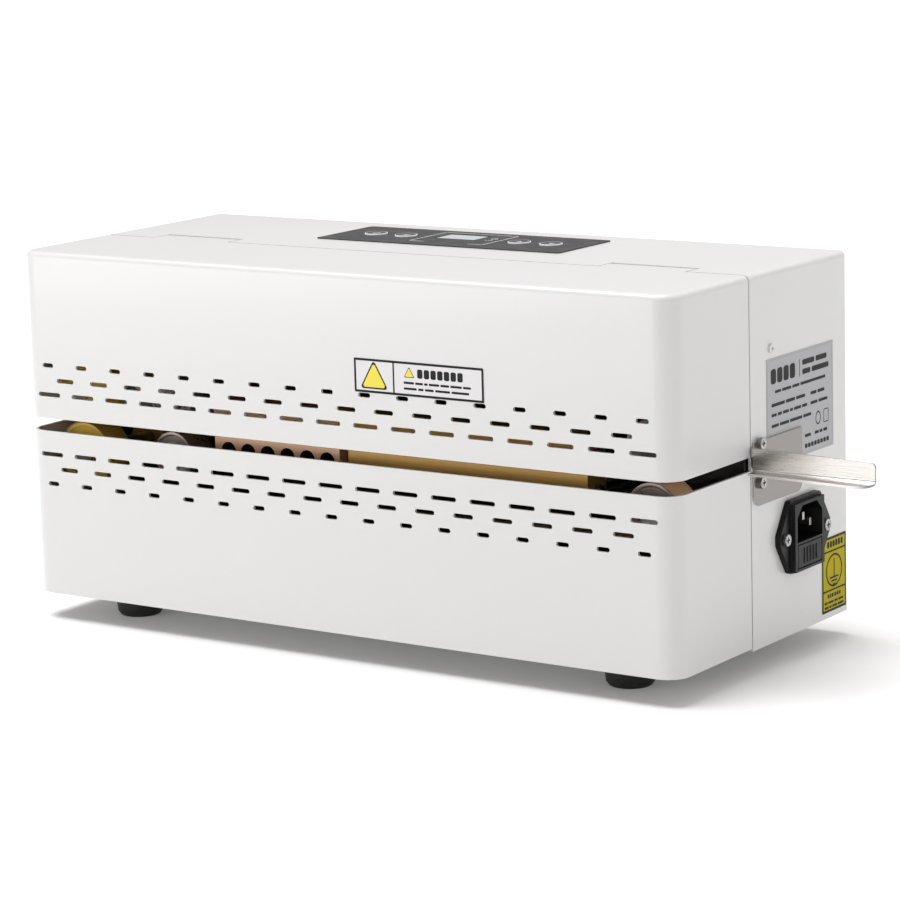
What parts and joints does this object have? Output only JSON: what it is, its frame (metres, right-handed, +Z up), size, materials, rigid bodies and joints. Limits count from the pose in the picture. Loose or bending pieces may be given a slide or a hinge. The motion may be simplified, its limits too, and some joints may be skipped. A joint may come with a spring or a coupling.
{
  "type": "continuous band sealer",
  "caption": "Tabletop continuous band sealer: white sheet-metal case with a horizontal bag slot, belts, heated and cooled blocks, a hinged front cover and a side bag guide.",
  "frame": {"origin": "centre of the bounding box at the underside of the feet", "axes": "+X along the case towards the bag guide, +Y from the slotted front face to the back, +Z up"},
  "size_m": [0.4574, 0.1672, 0.1939],
  "materials": {
    "white_paint": "gloss white powder coat",
    "black_plate": "satin black",
    "steel": "brushed stainless steel",
    "zinc_plate": "zinc plated sheet",
    "chrome_screw": "bright plated",
    "brass": "milled brass",
    "copper_alloy": "milled tan bronze",
    "drive_rubber": "yellow silicone rubber",
    "wheel_metal": "turned aluminium",
    "gear_steel": "machined steel",
    "belt_tan": "PTFE coated glass cloth",
    "foot_rubber": "black rubber",
    "inlet_black": "black moulded plastic",
    "panel_film": "dark grey film",
    "screen": "pale blue display",
    "key_film": "dark grey with a silver rim",
    "label_white": "printed film",
    "label_silver": "silver film",
    "label_yellow": "yellow film",
    "board_green": "circuit board",
    "part_black": "moulded components",
    "sink_aluminium": "extruded",
    "fuse_glass": "glass tube",
    "motor_metal": "plated can"
  },
  "bodies": {
    "case": {"base_plate": "zinc_plate", "rubber_feet": "foot_rubber", "foot_screws": "gear_steel", "rear_housing": "white_paint", "lower_front_cover": "white_paint", "hinge_brackets": "zinc_plate", "hinge_pins": "gear_steel", "housing_screws": "white_paint", "bag_guide": "steel", "side_screws": "chrome_screw", "power_inlet": "inlet_black", "inlet_blades": "chrome_screw", "control_panel": "panel_film", "display_screen": "screen", "display_board": "board_green", "key_switches": "part_black", "board_posts": "gear_steel", "rating_label": "label_silver", "earth_label": "label_yellow", "mounting_plate": "black_plate", "press_axles": "gear_steel", "infeed_axles": "gear_steel", "drive_bearings": "brass", "gearmotor": "motor_metal", "motor_bracket": "zinc_plate", "motor_posts": "brass", "lower_belt": "belt_tan", "upper_belt": "belt_tan", "lower_heating_block": "brass", "upper_heating_block": "brass", "lower_cooling_block": "copper_alloy", "upper_cooling_block": "copper_alloy", "cartridge_heaters": "gear_steel", "block_posts": "gear_steel", "thermocouples": "gear_steel", "fan_frame": "part_black", "control_board": "board_green", "board_components": "part_black", "heat_sink": "sink_aluminium"},
    "top_cover": {"upper_front_cover": "white_paint", "front_label": "label_white"},
    "lower_drive": {"lower_drive_wheel": "drive_rubber", "lower_drive_shaft": "gear_steel", "lower_drive_gear": "gear_steel"},
    "upper_drive": {"upper_drive_wheel": "drive_rubber", "upper_drive_shaft": "gear_steel", "upper_drive_gear": "gear_steel"},
    "lower_infeed": {"lower_infeed_wheel": "wheel_metal"},
    "upper_infeed": {"upper_infeed_wheel": "wheel_metal"},
    "lower_press": {"lower_press_wheel": "wheel_metal"},
    "upper_press": {"upper_press_wheel": "wheel_metal"},
    "motor_output": {"motor_pinion": "brass", "motor_shaft": "gear_steel"},
    "fan": {"fan_rotor": "part_black"},
    "drawer": {"fuse_drawer": "inlet_black", "fuse": "fuse_glass"},
    "key_left_outer": {"key_left_outer": "key_film"},
    "key_left_inner": {"key_left_inner": "key_film"},
    "key_right_inner": {"key_right_inner": "key_film"},
    "key_right_outer": {"key_right_outer": "key_film"}
  },
  "joints": [
    {"name": "cover_hinge", "type": "hinge", "parent": "case", "child": "top_cover", "pos_m": [-0.03265, -0.0038, 0.1904], "axis": [-1, 0, 0], "range_deg": [0, 95]},
    {"name": "lower_drive_spin", "type": "hinge", "parent": "case", "child": "lower_drive", "pos_m": [-0.20135, -0.0534, 0.0858], "axis": [0, 1, 0], "continuous": true},
    {"name": "lower_infeed_spin", "type": "hinge", "parent": "case", "child": "lower_infeed", "pos_m": [0.14125, -0.0534, 0.0884], "axis": [0, 1, 0], "continuous": true},
    {"name": "lower_press_spin", "type": "hinge", "parent": "case", "child": "lower_press", "pos_m": [-0.14295, -0.0534, 0.0903], "axis": [0, 1, 0], "continuous": true},
    {"name": "upper_drive_spin", "type": "hinge", "parent": "case", "child": "upper_drive", "pos_m": [-0.20135, -0.0534, 0.1206], "axis": [0, 1, 0], "continuous": true},
    {"name": "upper_infeed_spin", "type": "hinge", "parent": "case", "child": "upper_infeed", "pos_m": [0.14125, -0.0534, 0.118], "axis": [0, 1, 0], "continuous": true},
    {"name": "upper_press_spin", "type": "hinge", "parent": "case", "child": "upper_press", "pos_m": [-0.14295, -0.0534, 0.1161], "axis": [0, 1, 0], "continuous": true},
    {"name": "motor_spin", "type": "hinge", "parent": "case", "child": "motor_output", "pos_m": [-0.18785, -0.0044, 0.06242], "axis": [0, 1, 0], "continuous": true},
    {"name": "fan_spin", "type": "hinge", "parent": "case", "child": "fan", "pos_m": [-0.07635, -0.0069, 0.1032], "axis": [0, 1, 0], "continuous": true},
    {"name": "drawer_slide", "type": "slide", "parent": "case", "child": "drawer", "axis": [1, 0, 0], "range_m": [0, 0.017]},
    {"name": "left_outer_press", "type": "slide", "parent": "case", "child": "key_left_outer", "axis": [0, 0, -1], "range_m": [0, 0.0005], "stiffness_N_per_m": 900, "springref_m": -0.0004},
    {"name": "left_inner_press", "type": "slide", "parent": "case", "child": "key_left_inner", "axis": [0, 0, -1], "range_m": [0, 0.0005], "stiffness_N_per_m": 900, "springref_m": -0.0004},
    {"name": "right_inner_press", "type": "slide", "parent": "case", "child": "key_right_inner", "axis": [0, 0, -1], "range_m": [0, 0.0005], "stiffness_N_per_m": 900, "springref_m": -0.0004},
    {"name": "right_outer_press", "type": "slide", "parent": "case", "child": "key_right_outer", "axis": [0, 0, -1], "range_m": [0, 0.0005], "stiffness_N_per_m": 900, "springref_m": -0.0004}
  ],
  "couplings": [
    {"joint": "upper_drive_spin", "follows": "lower_drive_spin", "ratio": -1},
    {"joint": "lower_infeed_spin", "follows": "lower_drive_spin", "ratio": 1.1781},
    {"joint": "upper_infeed_spin", "follows": "lower_drive_spin", "ratio": -1.1781},
    {"joint": "lower_press_spin", "follows": "lower_drive_spin", "ratio": 1.3543},
    {"joint": "upper_press_spin", "follows": "lower_drive_spin", "ratio": -1.3543},
    {"joint": "motor_spin", "follows": "lower_drive_spin", "ratio": -1.8125}
  ]
}
